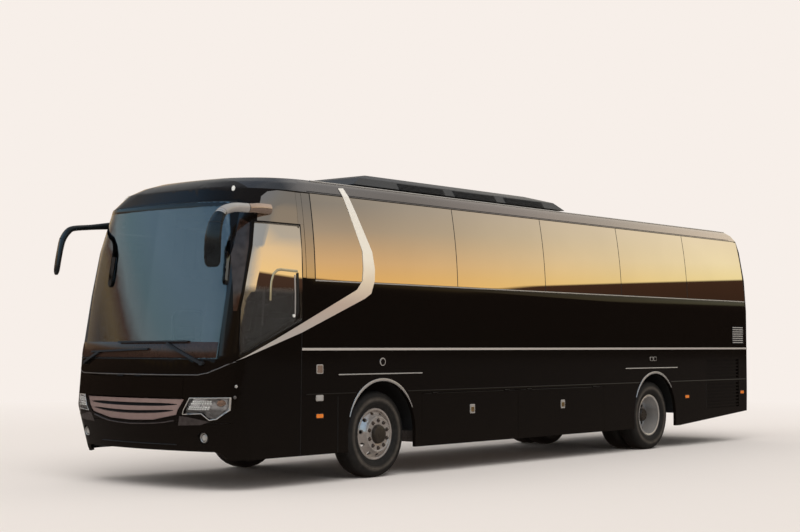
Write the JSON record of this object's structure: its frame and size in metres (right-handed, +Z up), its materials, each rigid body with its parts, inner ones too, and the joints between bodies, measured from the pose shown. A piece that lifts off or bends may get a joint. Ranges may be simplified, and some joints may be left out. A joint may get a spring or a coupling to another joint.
{
  "type": "touring coach",
  "caption": "Long single-deck touring coach: hollow panelled body with dark glass, steered front axle, twin rear wheels, swinging passenger doors, luggage flaps, roof unit and horn mirrors.",
  "frame": {"origin": "on the ground, midway along the overall length and on the centre plane", "axes": "+X towards the front, +Y to the coach's left, +Z up"},
  "size_m": [12.0288, 2.7859, 3.6069],
  "materials": {
    "black_paint": "high gloss black lacquer",
    "dark_glass": "bronze tinted",
    "clear_glass": "light tint",
    "bright_metal": "polished",
    "wheel_metal": "polished",
    "tyre": "moulded rubber",
    "black_plastic": "fine grain",
    "gloss_black_plastic": "gloss",
    "lamp_lens": "clear",
    "red_lens": "clear red",
    "frame_steel": "satin chassis paint",
    "cast_iron": "painted casting",
    "rubber": "matt",
    "seat_cloth": "woven",
    "floor_covering": "textured sheet",
    "tank_aluminium": "brushed"
  },
  "bodies": {
    "coach_body": {"side_left": "black_paint", "side_right": "black_paint", "roof": "black_paint", "front_panel": "black_paint", "front_bumper": "black_paint", "grille": "bright_metal", "front_lamps": "lamp_lens", "windscreen": "clear_glass", "side_glass": "dark_glass", "rear_panel": "black_paint", "rear_window": "dark_glass", "tail_lamps": "red_lens", "radiator_grille": "black_plastic", "floor": "floor_covering", "cab_platform": "floor_covering", "front_steps": "floor_covering", "mid_steps": "floor_covering", "hold": "tank_aluminium", "underframe": "frame_steel", "front_axle": "cast_iron", "rear_axle": "cast_iron", "air_springs": "rubber", "engine": "cast_iron", "fuel_tank": "tank_aluminium", "ac_unit": "gloss_black_plastic", "mirrors": "gloss_black_plastic", "wipers": "black_plastic", "bright_trim": "bright_metal", "dashboard": "black_plastic", "driver_seat": "seat_cloth", "seats": "seat_cloth", "luggage_racks": "black_plastic"},
    "front_door_leaf": {"front_door": "black_paint", "front_door_glass": "dark_glass"},
    "front_door_link": {"front_door_arm": "frame_steel"},
    "mid_door_leaf": {"mid_door": "black_paint", "mid_door_glass": "dark_glass"},
    "mid_door_link": {"mid_door_arm": "frame_steel"},
    "engine_cover": {"engine_lid": "black_paint"},
    "front_cover": {"front_flap": "black_paint"},
    "luggage_cover_left_front": {"luggage_door_left_front": "black_paint"},
    "luggage_cover_left_rear": {"luggage_door_left_rear": "black_paint"},
    "luggage_cover_right_front": {"luggage_door_right_front": "black_paint"},
    "luggage_cover_right_rear": {"luggage_door_right_rear": "black_paint"},
    "steering_hand_wheel": {"steering_wheel": "black_plastic"},
    "stub_axle_left": {"knuckle_left": "cast_iron"},
    "stub_axle_right": {"knuckle_right": "cast_iron"},
    "track_rod": {"tie_rod": "frame_steel"},
    "road_wheel_front_left": {"wheel_front_left": "wheel_metal", "tyre_front_left": "tyre"},
    "road_wheel_front_right": {"wheel_front_right": "wheel_metal", "tyre_front_right": "tyre"},
    "road_wheels_rear_left": {"wheel_rear_left": "wheel_metal", "tyre_rear_left": "tyre"},
    "road_wheels_rear_right": {"wheel_rear_right": "wheel_metal", "tyre_rear_right": "tyre"}
  },
  "joints": [
    {"name": "front_door_link_swing", "type": "hinge", "parent": "coach_body", "child": "front_door_link", "pos_m": [5.39, -1.15, 1.15], "axis": [0, 0, 1], "range_deg": [0, 150]},
    {"name": "front_door_leaf_swing", "type": "hinge", "parent": "front_door_link", "child": "front_door_leaf", "pos_m": [4.91, -1.15, 1.15], "axis": [0, 0, 1], "range_deg": [-150, 0]},
    {"name": "mid_door_link_swing", "type": "hinge", "parent": "coach_body", "child": "mid_door_link", "pos_m": [-1.45, -1.15, 1.15], "axis": [0, 0, 1], "range_deg": [-150, 0]},
    {"name": "mid_door_leaf_swing", "type": "hinge", "parent": "mid_door_link", "child": "mid_door_leaf", "pos_m": [-0.97, -1.15, 1.15], "axis": [0, 0, 1], "range_deg": [0, 150]},
    {"name": "engine_cover_hinge", "type": "hinge", "parent": "coach_body", "child": "engine_cover", "pos_m": [-6.013, 0, 1.763], "axis": [0, 1, 0], "range_deg": [0, 80]},
    {"name": "front_cover_hinge", "type": "hinge", "parent": "coach_body", "child": "front_cover", "pos_m": [5.938, 0, 1.208], "axis": [0, -1, 0], "range_deg": [0, 80]},
    {"name": "luggage_cover_left_front_hinge", "type": "hinge", "parent": "coach_body", "child": "luggage_cover_left_front", "pos_m": [0, 1.277, 0.967], "axis": [1, 0, 0], "range_deg": [0, 88]},
    {"name": "luggage_cover_left_rear_hinge", "type": "hinge", "parent": "coach_body", "child": "luggage_cover_left_rear", "pos_m": [0, 1.277, 0.967], "axis": [1, 0, 0], "range_deg": [0, 88]},
    {"name": "luggage_cover_right_front_hinge", "type": "hinge", "parent": "coach_body", "child": "luggage_cover_right_front", "pos_m": [0, -1.277, 0.967], "axis": [-1, 0, 0], "range_deg": [0, 88]},
    {"name": "luggage_cover_right_rear_hinge", "type": "hinge", "parent": "coach_body", "child": "luggage_cover_right_rear", "pos_m": [0, -1.277, 0.967], "axis": [-1, 0, 0], "range_deg": [0, 88]},
    {"name": "steering_hand_wheel_turn", "type": "hinge", "parent": "coach_body", "child": "steering_hand_wheel", "pos_m": [5.27, 0.7, 1.5], "axis": [-0.4472, 0, 0.8944], "range_deg": [-720, 720]},
    {"name": "steer_left", "type": "hinge", "parent": "coach_body", "child": "stub_axle_left", "pos_m": [3.22, 0.88, 0.505], "axis": [0, 0, 1], "range_deg": [-40, 40]},
    {"name": "steer_right", "type": "hinge", "parent": "coach_body", "child": "stub_axle_right", "pos_m": [3.22, -0.88, 0.505], "axis": [0, 0, 1], "range_deg": [-40, 40]},
    {"name": "track_rod_pivot", "type": "hinge", "parent": "stub_axle_left", "child": "track_rod", "pos_m": [3.03, 0.88, 0.37], "axis": [0, 0, 1], "range_deg": [-40, 40]},
    {"name": "wheel_front_left_spin", "type": "hinge", "parent": "stub_axle_left", "child": "road_wheel_front_left", "pos_m": [3.22, 1.045, 0.505], "axis": [0, 1, 0], "continuous": true},
    {"name": "wheel_front_right_spin", "type": "hinge", "parent": "stub_axle_right", "child": "road_wheel_front_right", "pos_m": [3.22, -1.045, 0.505], "axis": [0, 1, 0], "continuous": true},
    {"name": "wheels_rear_left_spin", "type": "hinge", "parent": "coach_body", "child": "road_wheels_rear_left", "pos_m": [-2.98, 0.885, 0.505], "axis": [0, 1, 0], "continuous": true},
    {"name": "wheels_rear_right_spin", "type": "hinge", "parent": "coach_body", "child": "road_wheels_rear_right", "pos_m": [-2.98, -0.885, 0.505], "axis": [0, 1, 0], "continuous": true}
  ],
  "couplings": [
    {"joint": "steer_right", "follows": "steer_left", "ratio": 1},
    {"joint": "track_rod_pivot", "follows": "steer_left", "ratio": -1},
    {"joint": "steering_hand_wheel_turn", "follows": "steer_left", "ratio": 18},
    {"joint": "front_door_leaf_swing", "follows": "front_door_link_swing", "ratio": -1},
    {"joint": "mid_door_leaf_swing", "follows": "mid_door_link_swing", "ratio": -1}
  ]
}
